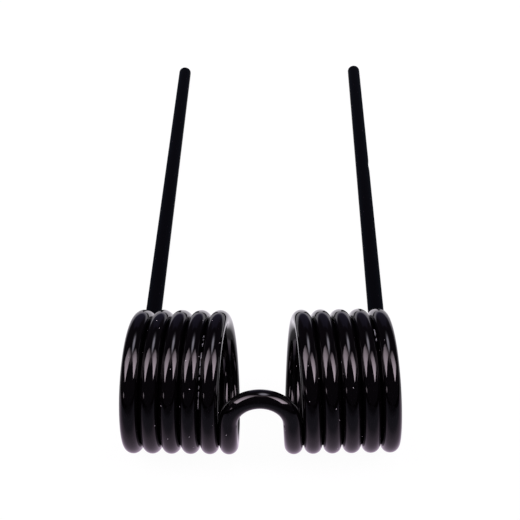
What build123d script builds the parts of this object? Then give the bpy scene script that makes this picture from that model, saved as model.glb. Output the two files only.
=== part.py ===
from build123d import *
import os
from math import cos, pi, radians, sin

# Double torsion spring, wound from one length of round wire.
#
# Two close-wound coils of opposite hand sit side by side on the X axis. Each
# coil starts from a long straight leg that leaves the bottom of its outer end
# towards +Y, and ends at its front, where the wire bends over into the bight:
# the half loop that joins the two coils. The spring is mirror-symmetric
# about the YZ plane. It rests on its legs and on the undersides of its coils.
#
# Millimetres, +Z up. The origin is on the coil axis, midway between the coils,
# which is also the axis of a rod or mandrel passed through both coils.

# ---- driving dimensions ------------------------------------------------------
wire_diameter = 10.0        # round spring wire, over its enamel
coil_mean_diameter = 67.5   # centreline of the wire, across the coil
coil_turns = 5.25           # full turns, from the leg's root to the coil's front
turn_gap = 0.3              # daylight between neighbouring turns
coil_sweep_angle = 2.2      # outer end of each coil swung back, degrees about Z
coil_droop_angle = 0.9      # outer end of each coil set lower, degrees about Y
bight_inner_width = 23.5    # clear width between the two sides of the bight
leg_length = 470.0          # straight part of each leg, root to tip
leg_tip_round = 2.5         # round on the rim of each cut end

# ---- sizes that follow from them ---------------------------------------------
wire_radius = wire_diameter / 2
coil_radius = coil_mean_diameter / 2
bight_half_width = bight_inner_width / 2 + wire_radius
# Pitch that leaves turn_gap between turns, measured square to the wire.
lead_sine = (wire_diameter + turn_gap) / (pi * coil_mean_diameter)
coil_pitch = (wire_diameter + turn_gap) / (1 - lead_sine**2) ** 0.5
coil_length = coil_turns * coil_pitch


def coil_frame() -> Location:
    """Frame of the +X coil: local Z runs along the coil axis, from its outer
    end to its inner one, and local X points down, to the leg's root. It is
    centred on the coil's middle, and swung and drooped about it."""
    sweep_back, droop = radians(coil_sweep_angle), radians(coil_droop_angle)
    # The coil's front end lands half the bight's width from the mirror plane.
    centre_x = (
        bight_half_width
        + coil_length / 2 * cos(droop) * cos(sweep_back)
        - coil_radius * sin(sweep_back)
    )
    tilt = Rotation(0, coil_droop_angle, 0)
    swing = Rotation(0, 0, coil_sweep_angle)
    axis = Plane(origin=(coil_length / 2, 0, 0), x_dir=(0, 0, -1), z_dir=(-1, 0, 0))
    return Location((centre_x, 0, 0)) * swing * tilt * axis.location


def wire_section(path: Edge, at: float) -> Face:
    """Round section of the wire, square to its path, drawn as four quarters."""
    plane = Plane(origin=path @ at, z_dir=path % at)
    quarters = [
        Edge.make_circle(wire_radius, plane, start, start + 90)
        for start in (0, 90, 180, 270)
    ]
    return Face(Wire(quarters))


def coil_span(turns: float) -> Part:
    """Wire swept along the first turns of the helix, in the coil's own frame."""
    helix = Edge.make_helix(coil_pitch, turns * coil_pitch, coil_radius)
    return sweep(wire_section(helix, 0), path=helix, is_frenet=True)


def make_coil() -> Part:
    """The wound coil: one turn, repeated along the axis, and a last part turn."""
    whole_turns = int(coil_turns)
    last_turns = coil_turns - whole_turns
    turn = coil_span(1)
    coil = [Pos(0, 0, i * coil_pitch) * turn for i in range(whole_turns)]
    if last_turns > 0:
        coil.append(Pos(0, 0, whole_turns * coil_pitch) * coil_span(last_turns))
    return Part() + coil


def make_leg(centreline: Edge) -> Part:
    """Straight leg, tangent to the coil at its root, with a rounded cut end."""
    root = Plane(origin=centreline @ 0, z_dir=-(centreline % 0))
    leg = Cylinder(wire_radius, leg_length, align=(Align.CENTER, Align.CENTER, Align.MIN))
    tip_rim = leg.edges().sort_by(Axis.Z)[-1]
    return root * fillet(tip_rim, leg_tip_round)


def make_bight(centreline: Edge) -> Part:
    """Half loop that leaves one coil's front and returns to the other's."""
    start = centreline @ 1
    finish = Vector(-start.X, start.Y, start.Z)
    arc = TangentArc(start, finish, tangent=centreline % 1)
    return sweep(wire_section(arc.edge(), 0), path=arc)


frame = coil_frame()
centreline = frame * Edge.make_helix(coil_pitch, coil_length, coil_radius)
half = frame * make_coil() + make_leg(centreline)
spring = half + make_bight(centreline) + mirror(half, about=Plane.YZ)
spring.label = "double_torsion_spring"

os.makedirs("parts", exist_ok=True)
export_step(spring, "parts/double_torsion_spring.step")
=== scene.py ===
"""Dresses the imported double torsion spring: its smooth wire, its enamel and a small studio.

The spring is one length of round spring-steel wire under gloss black enamel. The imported
CAD model gives its place and size; this script models the same wire finely enough for
clean reflections, gives it its finish, and sets up the floor, the lamps and the camera.
The scene is in metres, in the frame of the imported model, +Z up. The wire, its bead of
enamel and its finish are given in millimetres.
"""
import logging
from dataclasses import dataclass, field
from enum import Enum
from math import atan2, ceil, cos, exp, hypot, pi, radians, sin, tan
from typing import Any

import bpy
from mathutils import Euler, Matrix, Vector


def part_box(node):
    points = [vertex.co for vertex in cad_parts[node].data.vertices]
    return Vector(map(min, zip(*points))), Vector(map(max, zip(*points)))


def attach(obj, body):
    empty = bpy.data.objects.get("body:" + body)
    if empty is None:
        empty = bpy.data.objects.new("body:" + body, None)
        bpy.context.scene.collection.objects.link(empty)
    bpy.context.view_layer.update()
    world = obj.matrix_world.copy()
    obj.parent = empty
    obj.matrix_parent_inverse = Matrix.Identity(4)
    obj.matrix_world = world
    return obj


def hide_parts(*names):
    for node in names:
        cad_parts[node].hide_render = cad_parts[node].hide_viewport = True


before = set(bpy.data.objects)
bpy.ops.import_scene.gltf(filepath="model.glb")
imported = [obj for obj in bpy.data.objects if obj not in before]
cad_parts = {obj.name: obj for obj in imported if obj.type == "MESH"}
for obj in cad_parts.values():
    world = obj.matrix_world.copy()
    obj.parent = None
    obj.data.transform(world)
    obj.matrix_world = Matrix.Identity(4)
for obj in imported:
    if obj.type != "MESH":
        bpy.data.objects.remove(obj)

LOG = logging.getLogger("spring_scene")

NODE = "double_torsion_spring"
MM = 0.001
MERGE = 0.01 * MM


class Ray(Enum):
    """Kinds of light ray that a studio surface tells apart."""

    CAMERA = "Is Camera Ray"
    GLOSSY = "Is Glossy Ray"
    TRANSMISSION = "Is Transmission Ray"


# ---- helpers -----------------------------------------------------------------
def linear(hex_colour: str) -> tuple[float, float, float, float]:
    """Turns an sRGB hex colour into linear light.

    Args:
        hex_colour: a colour such as "#1a1b1c".

    Returns:
        Linear red, green and blue, and an alpha of 1.
    """
    channels = [int(hex_colour[i : i + 2], 16) / 255 for i in (1, 3, 5)]
    light = [c / 12.92 if c <= 0.04045 else ((c + 0.055) / 1.055) ** 2.4 for c in channels]
    return (*light, 1.0)


def add_node(tree: bpy.types.NodeTree, kind: str, /, inputs: dict[Any, Any] | None = None,
             stops: tuple[tuple[float, float], ...] = (), **settings: Any) -> bpy.types.Node:
    """Adds a shader node, with its settings, values and links.

    Args:
        tree: the node tree that the node goes into.
        kind: the node's type, such as "ShaderNodeMath".
        inputs: what each input socket holds: a value, an output to link, or a node whose
            first output is linked.
        stops: for a colour ramp, positions along it and the grey at each, in linear light.
        settings: attributes of the node itself.

    Returns:
        The new node.
    """
    node = tree.nodes.new(kind)
    for name, value in settings.items():
        setattr(node, name, value)
    for socket, value in (inputs or {}).items():
        source = value.outputs[0] if isinstance(value, bpy.types.Node) else value
        if isinstance(source, bpy.types.NodeSocket):
            tree.links.new(source, node.inputs[socket])
        else:
            node.inputs[socket].default_value = source
    if stops:
        node.color_ramp.interpolation = "EASE"
        elements = node.color_ramp.elements
        while len(elements) < len(stops):
            elements.new(0.5)
        for element, (position, grey) in zip(elements, stops):
            element.position = position
            element.color = (grey, grey, grey, 1.0)
    return node


def within(tree: bpy.types.NodeTree, *limits: tuple[Any, float, float]) -> bpy.types.NodeSocket:
    """Tells how far soft limits are kept: 1 where all of them are, 0 where any one isn't.

    Args:
        tree: the node tree that this goes into.
        limits: for each limit, the node or output that it is on, where it starts to be
            kept, and where it is kept in full, which may be above or below the start.

    Returns:
        The output that tells it.
    """
    kept = None
    for value, start, end in limits:
        step = add_node(tree, "ShaderNodeMapRange", {"Value": value, "From Min": start, "From Max": end},
                        interpolation_type="SMOOTHSTEP")
        kept = step if kept is None else add_node(tree, "ShaderNodeMath", {0: kept, 1: step},
                                                  operation="MULTIPLY")
    return kept.outputs[0]


def empty_tree(holder: bpy.types.Material | bpy.types.World | bpy.types.Light) -> bpy.types.NodeTree:
    """Switches on the nodes of a material, world or lamp, and gives its tree with nothing in it."""
    holder.use_nodes = True
    holder.node_tree.nodes.clear()
    return holder.node_tree


def pick(obj: bpy.types.Object) -> None:
    """Makes an object the only selected one, with nothing selected in its mesh."""
    bpy.ops.object.select_all(action="DESELECT")
    obj.select_set(True)
    bpy.context.view_layer.objects.active = obj
    bpy.ops.object.mode_set(mode="EDIT")
    bpy.ops.mesh.select_all(action="DESELECT")
    bpy.ops.object.mode_set(mode="OBJECT")


def add_other_hand(half: bpy.types.Object) -> None:
    """Adds a half's mirror image across X = 0, closes the mesh and turns every face outwards."""
    mirror = half.modifiers.new("other_hand", "MIRROR")
    mirror.merge_threshold = MERGE
    pick(half)
    bpy.ops.object.modifier_apply(modifier=mirror.name)
    bpy.ops.object.mode_set(mode="EDIT")
    bpy.ops.mesh.select_all(action="SELECT")
    bpy.ops.mesh.remove_doubles(threshold=MERGE)
    bpy.ops.mesh.fill_holes(sides=0)
    bpy.ops.mesh.normals_make_consistent(inside=False)
    bpy.ops.object.mode_set(mode="OBJECT")


# ---- the spring --------------------------------------------------------------
@dataclass(frozen=True)
class SpringWire:
    """The one length of wire: two coils, two legs and the bight. Sizes in mm and degrees."""

    wire_diameter: float = 10.0
    coil_mean_diameter: float = 67.5
    coil_turns: float = 5.25
    turn_gap: float = 0.3
    coil_sweep_angle: float = 2.2
    coil_droop_angle: float = 0.9
    bight_inner_width: float = 23.5
    leg_length: float = 470.0
    leg_tip_round: float = 2.5
    dent_place: float = 297.0
    dent_length: float = 12.0
    dent_width: float = 7.0
    dent_depth: float = 0.45
    dent_steepness: float = 1.5
    section_sides: int = 48
    steps_per_turn: int = 96
    long_step: float = 22.0
    dent_step: float = 1.5
    tip_segments: int = 8
    ring_reach: float = 1.02
    smooth_under: float = 40.0

    @property
    def wire_radius(self) -> float:
        """Radius of the wire in metres."""
        return self.wire_diameter / 2 * MM

    @property
    def coil_radius(self) -> float:
        """Radius of the coil's centreline in metres."""
        return self.coil_mean_diameter / 2 * MM

    @property
    def pitch(self) -> float:
        """Advance of one turn along the coil's axis, in metres."""
        normal_pitch = self.wire_diameter + self.turn_gap
        lead_sine = normal_pitch / (pi * self.coil_mean_diameter)
        return normal_pitch / (1 - lead_sine**2) ** 0.5 * MM

    @property
    def coil_length(self) -> float:
        """Length of the coil's centreline along its axis, in metres."""
        return self.coil_turns * self.pitch

    @property
    def coil_place(self) -> Matrix:
        """Place of the +X coil, from its own frame, with X along its axis, to the spring's."""
        sweep_back, droop = radians(self.coil_sweep_angle), radians(self.coil_droop_angle)
        bight_half_width = self.bight_inner_width / 2 * MM + self.wire_radius
        centre_x = (
            bight_half_width
            + self.coil_length / 2 * cos(droop) * cos(sweep_back)
            - self.coil_radius * sin(sweep_back)
        )
        turn = Euler((0.0, droop, sweep_back), "XYZ").to_matrix().to_4x4()
        return Matrix.Translation((centre_x, 0.0, 0.0)) @ turn

    def centreline(self, angle: float) -> tuple[Vector, Vector]:
        """A point of the +X coil's centreline.

        Args:
            angle: the turn so far in radians, from the leg's root at the bottom.

        Returns:
            The point, and the direction in which the winding goes on from it.
        """
        lead = self.pitch / (2 * pi)
        radius = self.coil_radius
        point = Vector((self.coil_length / 2 - lead * angle, -radius * sin(angle), -radius * cos(angle)))
        direction = Vector((-lead, -radius * cos(angle), radius * sin(angle))).normalized()
        return self.coil_place @ point, (self.coil_place.to_3x3() @ direction).normalized()

    def build(self) -> bpy.types.Object:
        """Models the whole wire as one closed mesh.

        Returns:
            The wire's object, at the origin.
        """
        wire = self._wind_coil()
        self._draw_leg(wire)
        self._bend_bight(wire)
        add_other_hand(wire)
        bpy.ops.object.shade_smooth_by_angle(angle=radians(self.smooth_under))
        self._dent(wire)
        wire.name = wire.data.name = "spring_wire"
        return wire

    def wind(self, ring: bpy.types.Object, turns: float) -> None:
        """Winds a ring along the +X coil, with a screw modifier.

        Args:
            ring: the selected ring, at the root of its winding in the coil's own frame.
            turns: how many turns it takes.
        """
        screw = ring.modifiers.new("winding", "SCREW")
        screw.axis = "X"
        screw.angle = -2 * pi * turns
        screw.screw_offset = -turns * self.pitch
        screw.steps = screw.render_steps = round(self.steps_per_turn * turns)
        screw.use_smooth_shade = True
        bpy.ops.object.modifier_apply(modifier=screw.name)
        ring.matrix_world = self.coil_place
        bpy.ops.object.transform_apply()

    def _wind_coil(self) -> bpy.types.Object:
        """Winds the +X coil from a ring square to the wire."""
        root = Vector((self.coil_length / 2, 0.0, -self.coil_radius))
        lead_angle = atan2(self.pitch / (2 * pi), self.coil_radius)
        bpy.ops.mesh.primitive_circle_add(
            vertices=self.section_sides,
            radius=self.wire_radius,
            location=root,
            rotation=(pi / 2, 0.0, -lead_angle),
        )
        coil = bpy.context.active_object
        bpy.ops.object.transform_apply()
        self.wind(coil, self.coil_turns)
        return coil

    def _select_ring(self, wire: bpy.types.Object, centre: Vector) -> None:
        """Selects the open ring of the wire around a point, and opens edit mode on it."""
        pick(wire)
        reach = self.wire_radius * self.ring_reach
        mesh = wire.data
        uses = [0] * len(mesh.edges)
        for loop in mesh.loops:
            uses[loop.edge_index] += 1
        near = [(v.co - centre).length < reach for v in mesh.vertices]
        for edge, count in zip(mesh.edges, uses):
            edge.select = count == 1 and all(near[i] for i in edge.vertices)
            for i in edge.vertices:
                mesh.vertices[i].select = mesh.vertices[i].select or edge.select
        bpy.ops.object.mode_set(mode="EDIT")
        bpy.ops.mesh.select_mode(type="EDGE")

    def _draw_leg(self, wire: bpy.types.Object) -> None:
        """Draws the straight leg out of the coil's outer end, and rounds its cut end."""
        root, direction = self.centreline(0.0)
        self._select_ring(wire, root)
        dent_start, dent_end = self.dent_place - self.dent_length, self.dent_place + self.dent_length
        stretches = (
            (dent_start, self.long_step),
            (dent_end - dent_start, self.dent_step),
            (self.leg_length - dent_end, self.long_step),
        )
        for length, longest_step in stretches:
            count = ceil(length / longest_step)
            step = -direction * length * MM / count
            for _ in range(count):
                bpy.ops.mesh.extrude_edges_move(TRANSFORM_OT_translate={"value": step})
        bpy.ops.mesh.edge_face_add()
        bpy.ops.mesh.bevel(offset=self.leg_tip_round * MM, segments=self.tip_segments, affect="EDGES")
        bpy.ops.object.mode_set(mode="OBJECT")

    def _bend_bight(self, wire: bpy.types.Object) -> None:
        """Bends the wire from the coil's front end up to the mirror plane."""
        front, direction = self.centreline(2 * pi * self.coil_turns)
        upwards = Vector((0.0, direction.y, direction.z)).normalized()
        lean = atan2(-direction.x, hypot(direction.y, direction.z))
        centre = Vector((0.0, front.y, front.z)) - upwards * front.x * sin(lean) / cos(lean)
        self._select_ring(wire, front)
        bpy.ops.mesh.spin(
            steps=self.steps_per_turn // 4,
            angle=pi / 2 - lean,
            center=centre,
            axis=upwards.cross(Vector((1.0, 0.0, 0.0))),
        )
        bpy.ops.object.mode_set(mode="OBJECT")

    def _dent(self, wire: bpy.types.Object) -> None:
        """Presses the small dent into the outer side of the +X leg."""
        root, direction = self.centreline(0.0)
        along = -direction
        centre = root + along * self.dent_place * MM + Vector((self.wire_radius, 0.0, 0.0))
        for vertex in wire.data.vertices:
            away = vertex.co - centre
            distance = away.dot(along)
            aside = (away - along * distance).length
            lengthwise = 2 * distance / (self.dent_length * MM)
            crosswise = 2 * aside / (self.dent_width * MM)
            falloff = lengthwise**2 + crosswise**2
            vertex.co.x -= self.dent_depth * MM * exp(-self.dent_steepness * falloff)


@dataclass(frozen=True)
class CreaseBead:
    """The bead of enamel that ran into the crease between neighbouring turns. Sizes in mm."""

    wire: SpringWire
    width: float = 1.3
    thickness: float = 0.3
    lift: float = 0.35
    sides: int = 8

    def build(self) -> bpy.types.Object:
        """Winds one bead along the crease of each coil.

        Returns:
            The beads' object, at the origin.
        """
        turns = self.wire.coil_turns - 1
        reach = self.wire.coil_radius + self.lift * MM
        root = Vector(((self.wire.coil_length - self.wire.pitch) / 2, 0.0, -reach))
        bpy.ops.object.select_all(action="DESELECT")
        bpy.ops.mesh.primitive_circle_add(
            vertices=self.sides,
            radius=MM / 2,
            location=root,
            rotation=(pi / 2, 0.0, 0.0),
        )
        bead = bpy.context.active_object
        bead.scale = (self.width, self.thickness, 1.0)
        bpy.ops.object.transform_apply()
        self.wire.wind(bead, turns)
        add_other_hand(bead)
        bead.name = bead.data.name = "crease_enamel"
        return bead


# ---- finishes ----------------------------------------------------------------
@dataclass(frozen=True)
class LightLeakRun:
    """A stretch of crease where painted light leaks between the turns, drawn as pale dashes: the lowest and
    highest corner of a box around it, in mm.
    """

    low: tuple[float, float, float]
    high: tuple[float, float, float]


@dataclass(frozen=True)
class BlackEnamel:
    """Black stoving enamel: the wire was dipped, drained and baked, so the film flowed smooth.

    It gives the eye a deep black with sharp, wet-looking reflections. Their edges waver a
    little, because the film set in a faint orange peel, and the gloss is a little softer in
    some places than in others. A few pale specks of dust stuck to the film. Pale dashes in
    the creases are painted light, leaking between the turns. Sizes in mm.
    """

    colour: str = "#030203"
    # The pale colour of real dust specks, and of the dashes of painted light in the creases.
    dust_and_leak: str = "#f0edf2"
    ior: float = 1.5
    roughness: tuple[float, float] = (0.02, 0.05)
    cloud_size: float = 18.0
    cloud_range: tuple[float, float] = (0.3, 0.7)
    peel_length: float = 2.5
    peel_depth: float = 0.022
    speck_spacing: float = 5.5
    speck_radius: float = 0.26
    speck_core: float = 0.6
    speck_share: float = 0.8
    coils_dusty_to: float = 45.0
    legs_clean_from: float = 60.0
    dash_length: float = 2.2
    dash_cut: tuple[float, float] = (0.40, 0.50)
    run_edge: float = 0.5
    dust_and_leak_roughness: float = 0.8

    def material(self, name: str, sheen: float = 0.5, runs: tuple[LightLeakRun, ...] = ()) -> bpy.types.Material:
        """Builds the enamel.

        Args:
            name: the material's name.
            sheen: how strongly it mirrors: 0.5 for its real IOR, 0 for none, which paints a
                crease as plain black shade.
            runs: the stretches of crease where pale dashes of painted light leak between the turns.

        Returns:
            The material.
        """
        material = bpy.data.materials.new(name)
        tree = empty_tree(material)
        place = add_node(tree, "ShaderNodeTexCoord").outputs["Object"]
        dust_and_leak = self._specks(tree, place)
        # Dashes of painted light, leaking between the turns, join the real dust specks.
        if runs:
            dust_and_leak = add_node(tree, "ShaderNodeMath", {0: dust_and_leak, 1: self._dashes(tree, place, runs)},
                            operation="MAXIMUM").outputs[0]
        colour = add_node(tree, "ShaderNodeMix", {
            "Factor": dust_and_leak, 6: linear(self.colour), 7: linear(self.dust_and_leak),
        }, data_type="RGBA")
        cloud = add_node(tree, "ShaderNodeTexNoise", {
            "Vector": place, "Scale": 1 / (self.cloud_size * MM), "Detail": 1.0,
        })
        gloss = add_node(tree, "ShaderNodeMapRange", {
            "Value": cloud, "From Min": self.cloud_range[0], "From Max": self.cloud_range[1],
            "To Min": self.roughness[0], "To Max": self.roughness[1],
        })
        dust_and_leak_roughening = add_node(tree, "ShaderNodeMath", {0: dust_and_leak, 1: self.dust_and_leak_roughness}, operation="MULTIPLY")
        dull = add_node(tree, "ShaderNodeMath", {0: gloss, 1: dust_and_leak_roughening}, operation="MAXIMUM")
        peel = add_node(tree, "ShaderNodeTexNoise", {
            "Vector": place, "Scale": 1 / (self.peel_length * MM), "Detail": 1.0,
        })
        relief = add_node(tree, "ShaderNodeBump", {
            "Height": peel, "Strength": 1.0, "Distance": self.peel_depth * MM,
        })
        shader = add_node(tree, "ShaderNodeBsdfPrincipled", {
            "Base Color": colour.outputs[2], "Roughness": dull, "IOR": self.ior,
            "Specular IOR Level": sheen, "Normal": relief,
        })
        add_node(tree, "ShaderNodeOutputMaterial", {"Surface": shader})
        return material

    def _specks(self, tree: bpy.types.NodeTree, place: bpy.types.NodeSocket) -> bpy.types.NodeSocket:
        """Where single specks of dust sit on the coils: 1 on a speck, in some cells of a loose grid.

        The legs are clean.
        """
        cells = add_node(tree, "ShaderNodeTexVoronoi", {
            "Vector": place, "Scale": 1 / (self.speck_spacing * MM), "Randomness": 1.0,
        })
        axes = add_node(tree, "ShaderNodeSeparateXYZ", {0: place})
        radius = self.speck_radius / self.speck_spacing
        spot = within(
            tree,
            (cells.outputs["Distance"], radius, radius * self.speck_core),
            (axes.outputs["Y"], self.legs_clean_from * MM, self.coils_dusty_to * MM),
        )
        lot = add_node(tree, "ShaderNodeSeparateColor", {0: cells.outputs["Color"]})
        drawn = add_node(tree, "ShaderNodeMath", {0: lot, 1: self.speck_share}, operation="LESS_THAN")
        return add_node(tree, "ShaderNodeMath", {0: spot, 1: drawn}, operation="MULTIPLY").outputs[0]

    def _dashes(self, tree: bpy.types.NodeTree, place: bpy.types.NodeSocket,
                runs: tuple[LightLeakRun, ...]) -> bpy.types.NodeSocket:
        """Painted light leaking between the turns: short pale dashes inside each run's box."""
        axes = add_node(tree, "ShaderNodeSeparateXYZ", {0: place})
        held = None
        for run in runs:
            limits = []
            for axis, low, high in zip(axes.outputs, run.low, run.high):
                limits.append((axis, (low - self.run_edge) * MM, (low + self.run_edge) * MM))
                limits.append((axis, (high + self.run_edge) * MM, (high - self.run_edge) * MM))
            inside = within(tree, *limits)
            held = inside if held is None else add_node(tree, "ShaderNodeMath", {0: held, 1: inside},
                                                        operation="MAXIMUM").outputs[0]
        leak_dash_noise = add_node(tree, "ShaderNodeTexNoise", {
            "Vector": place, "Scale": 1 / (self.dash_length * MM), "Detail": 1.0,
        })
        dashes = within(tree, (leak_dash_noise, *self.dash_cut))
        return add_node(tree, "ShaderNodeMath", {0: held, 1: dashes}, operation="MULTIPLY").outputs[0]


# Where pale dashes of painted light leak between the turns of each coil.
CREASE_LIGHT_LEAKS = (
    LightLeakRun((-33.5, -40.0, 9.0), (-28.0, -4.5, 40.0)),
    LightLeakRun((58.5, -8.0, 28.0), (62.5, 0.5, 40.0)),
)


# ---- the studio --------------------------------------------------------------
def heading(azimuth: float, elevation: float) -> Vector:
    """The unit vector of a direction.

    Args:
        azimuth: degrees from the front, -Y, towards +X.
        elevation: degrees above the floor.

    Returns:
        The direction, away from the spring.
    """
    around, up = radians(azimuth), radians(elevation)
    return Vector((sin(around) * cos(up), -cos(around) * cos(up), sin(up)))


@dataclass(frozen=True)
class SoftBox:
    """A lamp behind a diffusing front.

    Place and facing are directions away from the spring, as heading() takes them. The lamp
    hangs in the first, at its distance, and its front looks back along the second: where
    the two are the same, it is square to the spring. Spin turns it in its own plane. A
    spread under 180 degrees dims the front where it is seen aslant, as a softbox's does. A
    fade dims it from its rim inwards, over that share of the way to its middle, as on a lit
    ceiling.
    """

    name: str
    place: tuple[float, float]
    facing: tuple[float, float]
    spin: float
    width: float
    height: float
    radiance: float
    colour: str
    spread: float = 180.0
    fade: float = 0.0
    distance: float = 1.5
    full_spread: float = 180.0
    rim: float = 0.5

    def light(self) -> None:
        """Adds the lamp. Its power follows from its radiance, its area and its spread."""
        lamp = bpy.data.lights.new(self.name, "AREA")
        lamp.shape = "RECTANGLE"
        lamp.size, lamp.size_y = self.width, self.height
        lamp.spread = radians(self.spread)
        half = lamp.spread / 2
        narrowing = (tan(half) - half) / tan(half) if self.spread < self.full_spread else 1.0
        lamp.energy = self.radiance * pi * self.width * self.height * narrowing
        lamp.color = linear(self.colour)[:3]
        if self.fade:
            self._soften(lamp)
        holder = bpy.data.objects.new(self.name, lamp)
        bpy.context.scene.collection.objects.link(holder)
        turn = heading(*self.facing).to_track_quat("Z", "Y").to_matrix().to_4x4()
        turn @= Matrix.Rotation(radians(self.spin), 4, "Z")
        holder.matrix_world = Matrix.Translation(heading(*self.place) * self.distance) @ turn

    def _soften(self, lamp: bpy.types.Light) -> None:
        """Fades the lamp's front from full in its middle to nothing at its rim."""
        tree = empty_tree(lamp)
        spot = add_node(tree, "ShaderNodeNewGeometry").outputs["Parametric"]
        away = add_node(tree, "ShaderNodeVectorMath", {0: spot, 1: (self.rim, self.rim, 0.0)},
                        operation="DISTANCE")
        glow = within(tree, (away.outputs["Value"], self.rim, self.rim * (1 - self.fade)))
        front = add_node(tree, "ShaderNodeEmission", {"Strength": glow})
        add_node(tree, "ShaderNodeOutputLight", {"Surface": front})


def by_ray(tree: bpy.types.NodeTree, seen: bpy.types.Node, mirrored: bpy.types.Node,
           lit: bpy.types.Node) -> bpy.types.Node:
    """Shows a studio surface as one thing to the camera, one in reflections and one as a light.

    Args:
        tree: the surface's node tree.
        seen: the shader for what the camera sees, straight or through something clear.
        mirrored: the shader for what a glossy surface reflects.
        lit: the shader for everything else.

    Returns:
        The node that joins the three.
    """
    rays = add_node(tree, "ShaderNodeLightPath")
    straight = add_node(tree, "ShaderNodeMath", {
        0: rays.outputs[Ray.CAMERA.value], 1: rays.outputs[Ray.TRANSMISSION.value],
    }, operation="MAXIMUM")
    hidden = add_node(tree, "ShaderNodeMixShader", {
        0: rays.outputs[Ray.GLOSSY.value], 1: lit, 2: mirrored,
    })
    return add_node(tree, "ShaderNodeMixShader", {0: straight, 1: hidden, 2: seen})


@dataclass(frozen=True)
class Floor:
    """A sheet of white paper, with a painted pool of light seen in reflections.

    To the camera it is white, with a faint shadow under the spring. Reflections don't see
    that white: they see a painted pool of light, an emission on the paper, which falls off in
    front, to the sides and far behind, with painted shadows of the coils and legs in it. Black
    enamel mirrors such a pool as deep black with bright rims, where a white floor would turn
    all of it grey.
    """

    half_size: float = 6.0

    # The paper, the white that the camera sees, and the share of the lit paper added to it,
    # which carries the shadow.
    colour: str = "#f4f2f8"
    white: float = 0.97
    shade: float = 0.05

    # The painted pool's brightness, a glow seen only in reflections, and how it runs along Y:
    # stops over the span, with the light at each.
    level: float = 1.45
    pool_span: tuple[float, float] = (-0.30, 0.30)
    pool_stops: tuple[tuple[float, float], ...] = (
        (0.00, 0.032), (0.17, 0.068), (0.29, 0.12), (0.37, 0.136), (0.43, 0.32), (0.50, 0.64), (0.58, 0.66),
        (0.66, 0.81), (0.72, 0.82), (0.82, 0.74), (1.00, 0.85),
    )

    # From here on a pair, unless it is a stop, is where something starts and where it is full.
    # The tints of the light, and where along Y the second and the third take over.
    front_light: str = "#e6e0ff"
    under_light: str = "#f7defb"
    back_light: str = "#f8f3fc"
    under_start: tuple[float, float] = (-0.10, -0.04)
    back_start: tuple[float, float] = (-0.03, 0.03)

    # The pool's sides: its half width, how much that grows with each metre behind the coils'
    # axis, and the shares of it between which the light fades.
    pool_half_width: float = 0.30
    pool_widening: float = 0.55
    pool_side: tuple[float, float] = (1.25, 0.75)

    # Far behind, the light settles at a share of itself.
    far_start: tuple[float, float] = (0.28, 0.75)
    far_share: float = 0.75

    # The painted shadow of the coils on the paper, along Y and aside, and the share of light left in it.
    shadow_start: tuple[float, float] = (0.002, 0.012)
    shadow_end: tuple[float, float] = (0.064, 0.040)
    shadow_side: tuple[float, float] = (0.085, 0.070)
    shadow_share: float = 0.28

    # The painted shade of the legs: where it runs along Y, and stops from the middle out to
    # aside_to, with the share of light left at each.
    leg_shade_start: tuple[float, float] = (-0.02, 0.04)
    leg_shade_end: tuple[float, float] = (1.10, 0.80)
    aside_to: float = 0.20
    aside_stops: tuple[tuple[float, float], ...] = (
        (0.00, 1.00), (0.285, 1.00), (0.305, 0.09), (0.41, 0.09), (0.43, 0.70), (1.00, 0.60),
    )

    def build(self, level: float) -> bpy.types.Object:
        """Lays the floor.

        Args:
            level: height of the floor, in metres.

        Returns:
            The floor's object.
        """
        bpy.ops.object.select_all(action="DESELECT")
        bpy.ops.mesh.primitive_plane_add(size=2 * self.half_size, location=(0.0, 0.0, level))
        floor = bpy.context.active_object
        bpy.ops.object.transform_apply()
        floor.name = floor.data.name = "floor"
        floor.data.materials.append(self._material())
        return floor

    def _painted_pool(self, tree: bpy.types.NodeTree) -> bpy.types.Node:
        """The painted pool of light on the paper, a glow seen only in reflections: its level times a share
        for each thing that dims it, painted shadows of the coils and legs among them.
        """
        place = add_node(tree, "ShaderNodeTexCoord")
        spot = add_node(tree, "ShaderNodeSeparateXYZ", {0: place.outputs["Object"]})
        depth = spot.outputs["Y"]
        aside = add_node(tree, "ShaderNodeMath", {0: spot.outputs["X"]}, operation="ABSOLUTE").outputs[0]

        along = add_node(tree, "ShaderNodeMapRange", {
            "Value": depth, "From Min": self.pool_span[0], "From Max": self.pool_span[1],
        })
        lengthwise = add_node(tree, "ShaderNodeValToRGB", {0: along}, self.pool_stops)

        out = add_node(tree, "ShaderNodeMath", {0: aside, 1: self.aside_to}, operation="DIVIDE")
        across = add_node(tree, "ShaderNodeValToRGB", {0: out}, self.aside_stops)
        painted_leg_shade_mask = within(tree, (depth, *self.leg_shade_start), (depth, *self.leg_shade_end))
        legs = add_node(tree, "ShaderNodeMix", {"Factor": painted_leg_shade_mask, 2: 1.0, 3: across})

        behind = add_node(tree, "ShaderNodeMath", {0: depth, 1: 0.0}, operation="MAXIMUM")
        half_width = add_node(tree, "ShaderNodeMath", {
            0: behind, 1: self.pool_widening, 2: self.pool_half_width,
        }, operation="MULTIPLY_ADD")
        from_middle = add_node(tree, "ShaderNodeMath", {0: aside, 1: half_width}, operation="DIVIDE")
        sideways = within(tree, (from_middle, *self.pool_side))

        far = within(tree, (depth, *self.far_start))
        distant = add_node(tree, "ShaderNodeMix", {"Factor": far, 2: 1.0, 3: self.far_share})

        painted_coil_shadow_mask = within(tree, (aside, *self.shadow_side), (depth, *self.shadow_start),
                          (depth, *self.shadow_end))
        coils = add_node(tree, "ShaderNodeMix", {"Factor": painted_coil_shadow_mask, 2: 1.0, 3: self.shadow_share})

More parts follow.
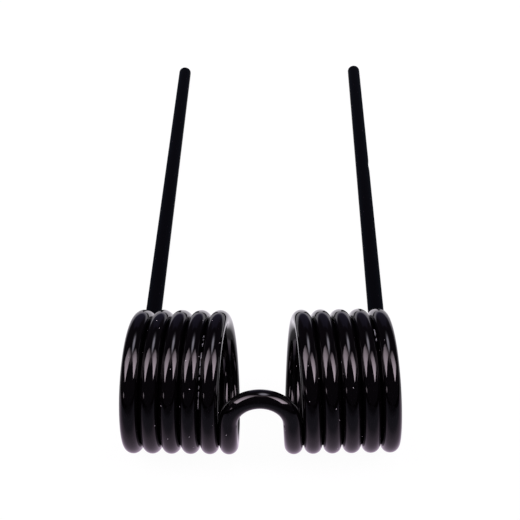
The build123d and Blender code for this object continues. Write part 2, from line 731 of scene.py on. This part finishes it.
        strength = self.level
        for share in (lengthwise, legs, sideways, distant, coils):
            strength = add_node(tree, "ShaderNodeMath", {0: strength, 1: share}, operation="MULTIPLY")
        return add_node(tree, "ShaderNodeEmission", {
            "Color": self._tint(tree, depth).outputs[2], "Strength": strength,
        })

    def _tint(self, tree: bpy.types.NodeTree, depth: bpy.types.NodeSocket) -> bpy.types.Node:
        """The painted pool's tint: bluish in front, pinkish under the spring and near white behind."""
        ahead = add_node(tree, "ShaderNodeMix", {
            "Factor": within(tree, (depth, *self.under_start)),
            6: linear(self.front_light), 7: linear(self.under_light),
        }, data_type="RGBA")
        return add_node(tree, "ShaderNodeMix", {
            "Factor": within(tree, (depth, *self.back_start)),
            6: ahead.outputs[2], 7: linear(self.back_light),
        }, data_type="RGBA")

    def _material(self) -> bpy.types.Material:
        """White paper: white to the camera with a faint shadow, and in reflections a painted pool of light
        with painted shadows.
        """
        material = bpy.data.materials.new("white_paper_floor")
        tree = empty_tree(material)
        paper = add_node(tree, "ShaderNodeBsdfDiffuse", {"Color": linear(self.colour)})
        white = add_node(tree, "ShaderNodeEmission", {"Strength": self.white})
        shade = add_node(tree, "ShaderNodeMixShader", {0: self.shade, 2: paper})
        seen = add_node(tree, "ShaderNodeAddShader", {0: white, 1: shade})
        surface = by_ray(tree, seen, self._painted_pool(tree), paper)
        add_node(tree, "ShaderNodeOutputMaterial", {"Surface": surface})
        return material


@dataclass(frozen=True)
class LegShadeCards:
    """Dark cards around the legs, seen only in reflections: painted shade on the legs.

    Each leg has a card along each side and one across them. A card glows dim and dark on the
    side that faces the leg and is clear on the other. The camera and the lamps don't see it at
    all. The cards begin behind the coils and thicken from clear to dark, so that the painted
    shade on the leg has no edge.
    """

    # The colour of the painted shade: a dim glow, seen only in reflections.
    colour: str = "#262b36"
    leg_x: float = 0.0714
    near: float = 0.035
    dark_from: float = 0.115
    far: float = 0.62
    height: float = 0.024
    width: float = 0.022

    def build(self, level: float) -> None:
        """Sets up the cards of both legs.

        Args:
            level: height of the floor, in metres.
        """
        shade_glow = self._material()
        for hand, leg in ((-1, "left"), (1, "right")):
            x = hand * self.leg_x
            self._card(f"painted_shade_card_{leg}_top", shade_glow, (x, level + self.height), self.width, 0.0)
            for side, edge in ((-1, "minus_x"), (1, "plus_x")):
                place = (x + side * self.width / 2, level + self.height / 2)
                self._card(f"painted_shade_card_{leg}_{edge}", shade_glow, place, self.height, side * pi / 2)

    def _card(self, name: str, shade_glow: bpy.types.Material, place: tuple[float, float], width: float,
              lean: float) -> None:
        """Adds one card along Y, with its back to the leg."""
        bpy.ops.object.select_all(action="DESELECT")
        centre = (place[0], (self.near + self.far) / 2, place[1])
        bpy.ops.mesh.primitive_plane_add(size=1.0, location=centre, rotation=(0.0, lean, 0.0))
        card = bpy.context.active_object
        card.scale = (width, self.far - self.near, 1.0)
        bpy.ops.object.transform_apply()
        card.name = card.data.name = name
        card.data.materials.append(shade_glow)
        card.visible_camera = card.visible_diffuse = card.visible_transmission = False
        card.visible_shadow = card.visible_volume_scatter = False

    def _material(self) -> bpy.types.Material:
        """Painted shade on the card's back, a dim dark glow thickening away from the coils, and nothing on
        its front.
        """
        material = bpy.data.materials.new("leg_reflection_shade_painted")
        tree = empty_tree(material)
        side = add_node(tree, "ShaderNodeNewGeometry")
        shade_glow = add_node(tree, "ShaderNodeEmission", {"Color": linear(self.colour)})
        nothing = add_node(tree, "ShaderNodeBsdfTransparent")
        place = add_node(tree, "ShaderNodeTexCoord")
        spot = add_node(tree, "ShaderNodeSeparateXYZ", {0: place.outputs["Object"]})
        thick = within(tree, (spot.outputs["Y"], self.near, self.dark_from))
        dark = add_node(tree, "ShaderNodeMath", {0: side.outputs["Backfacing"], 1: thick},
                        operation="MULTIPLY")
        surface = add_node(tree, "ShaderNodeMixShader", {0: dark, 1: nothing, 2: shade_glow})
        add_node(tree, "ShaderNodeOutputMaterial", {"Surface": surface})
        return material


@dataclass(frozen=True)
class Surround:
    """The room: white to the camera, dark in reflections, a plain fill for everything else.

    In reflections it has a paler wall behind the spring and a pale band along its horizon.
    Their sides are X over Y of a direction, and their tops its Z. Each starts at the first
    number of a pair and is full at the second.
    """

    fill: float = 0.15
    room: str = "#333038"
    far_wall: str = "#55526a"
    horizon: str = "#d4cfe4"
    wall_side: tuple[float, float] = (0.60, 0.25)
    wall_top: tuple[float, float] = (0.75, 0.67)
    horizon_side: tuple[float, float] = (1.10, 0.60)
    horizon_top: tuple[float, float] = (0.13, -0.03)
    least_ahead: float = 0.001

    def build(self) -> None:
        """Sets the world."""
        world = bpy.data.worlds.new("surround")
        bpy.context.scene.world = world
        tree = empty_tree(world)
        white = (1.0, 1.0, 1.0, 1.0)
        fill = add_node(tree, "ShaderNodeBackground", {"Color": white, "Strength": self.fill})
        seen = add_node(tree, "ShaderNodeBackground", {"Color": white, "Strength": 1.0})
        place = add_node(tree, "ShaderNodeTexCoord")
        way = add_node(tree, "ShaderNodeSeparateXYZ", {0: place.outputs["Generated"]})
        up = way.outputs["Z"]
        off = add_node(tree, "ShaderNodeMath", {0: way.outputs["X"]}, operation="ABSOLUTE")
        ahead = add_node(tree, "ShaderNodeMath", {0: way.outputs["Y"], 1: self.least_ahead},
                         operation="MAXIMUM")
        aside = add_node(tree, "ShaderNodeMath", {0: off, 1: ahead}, operation="DIVIDE")
        behind = add_node(tree, "ShaderNodeMix", {
            "Factor": within(tree, (aside, *self.wall_side), (up, *self.wall_top)),
            6: linear(self.room), 7: linear(self.far_wall),
        }, data_type="RGBA")
        colour = add_node(tree, "ShaderNodeMix", {
            "Factor": within(tree, (aside, *self.horizon_side), (up, *self.horizon_top)),
            6: behind.outputs[2], 7: linear(self.horizon),
        }, data_type="RGBA")
        mirrored = add_node(tree, "ShaderNodeBackground", {"Color": colour.outputs[2], "Strength": 1.0})
        add_node(tree, "ShaderNodeOutputWorld", {"Surface": by_ray(tree, seen, mirrored, fill)})


@dataclass(frozen=True)
class Viewpoint:
    """The camera. Angles in degrees: tilt up from straight down, roll, and turn about Z."""

    location: tuple[float, float, float] = (0.0142, -0.5135, 0.4189)
    tilt: float = 56.465
    roll: float = 1.018
    turn: float = 0.828
    lens: float = 84.48
    sensor: float = 36.0
    clip: tuple[float, float] = (0.01, 50.0)

    def build(self) -> None:
        """Adds the camera and makes it the scene's."""
        camera = bpy.data.cameras.new("viewpoint")
        camera.sensor_width = self.sensor
        camera.lens = self.lens
        camera.clip_start, camera.clip_end = self.clip
        holder = bpy.data.objects.new("viewpoint", camera)
        bpy.context.scene.collection.objects.link(holder)
        holder.location = self.location
        holder.rotation_euler = Euler([radians(a) for a in (self.tilt, self.roll, self.turn)], "XYZ")
        bpy.context.scene.camera = holder


@dataclass
class Studio:
    """Floor, cards of painted shade, surround, lamps and camera. None of it is part of the spring."""

    floor: Floor = field(default_factory=Floor)
    leg_shade_cards: LegShadeCards = field(default_factory=LegShadeCards)
    surround: Surround = field(default_factory=Surround)
    viewpoint: Viewpoint = field(default_factory=Viewpoint)
    lamps: tuple[SoftBox, ...] = (
        SoftBox("left_softbox", place=(-86.4, 83.1), facing=(-45.7, 25.5), spin=-13.3, width=0.60,
                height=2.50, radiance=9.4, spread=113.0, colour="#ffebfa"),
        SoftBox("right_softbox", place=(82.6, 65.2), facing=(39.8, 15.7), spin=6.2, width=0.76,
                height=2.00, radiance=12.4, spread=117.0, colour="#ffebfa"),
        SoftBox("top_glow", place=(134.0, 79.0), facing=(134.0, 79.0), spin=-46.0, width=1.05,
                height=0.74, radiance=3.5, colour="#f2ecff", fade=0.7),
        SoftBox("top_tail", place=(149.0, 73.5), facing=(149.0, 73.5), spin=-31.0, width=1.15,
                height=1.05, radiance=1.0, colour="#f2ecff", fade=0.9),
        SoftBox("top_bridge", place=(13.0, 76.7), facing=(13.0, 76.7), spin=0.0, width=0.95,
                height=0.90, radiance=0.45, colour="#ffe4f4", fade=0.5),
        SoftBox("left_glint", place=(-57.0, 6.5), facing=(-57.0, 6.5), spin=0.0, width=0.20,
                height=0.14, radiance=3.2, colour="#ffebfa"),
    )

    def build(self, level: float) -> None:
        """Sets up the studio.

        Args:
            level: height of the floor, in metres.
        """
        self.floor.build(level)
        self.leg_shade_cards.build(level)
        self.surround.build()
        for lamp in self.lamps:
            lamp.light()
        self.viewpoint.build()
        bpy.context.scene.view_settings.view_transform = "Standard"


def main() -> None:
    """Builds the spring's wire and the studio."""
    logging.basicConfig(level=logging.INFO, format="%(name)s: %(message)s")
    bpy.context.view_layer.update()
    low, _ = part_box(NODE)
    spring = SpringWire()
    wire = spring.build()
    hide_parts(NODE)
    bead = CreaseBead(spring).build()
    enamel = BlackEnamel()
    finishes = (
        (wire, enamel.material("gloss_black_enamel")),
        # In the crease the enamel mirrors nothing: painted shade, plain black.
        (bead, enamel.material("crease_enamel_painted_shade_and_leak", sheen=0.0, runs=CREASE_LIGHT_LEAKS)),
    )
    for piece, finish in finishes:
        piece.data.materials.clear()
        piece.data.materials.append(finish)
        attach(piece, "root")
        LOG.info("%s: %d faces", piece.name, len(piece.data.polygons))
    Studio().build(low.z)
    LOG.info("studio: floor at %.2f mm", low.z / MM)


if __name__ == "__main__":
    main()
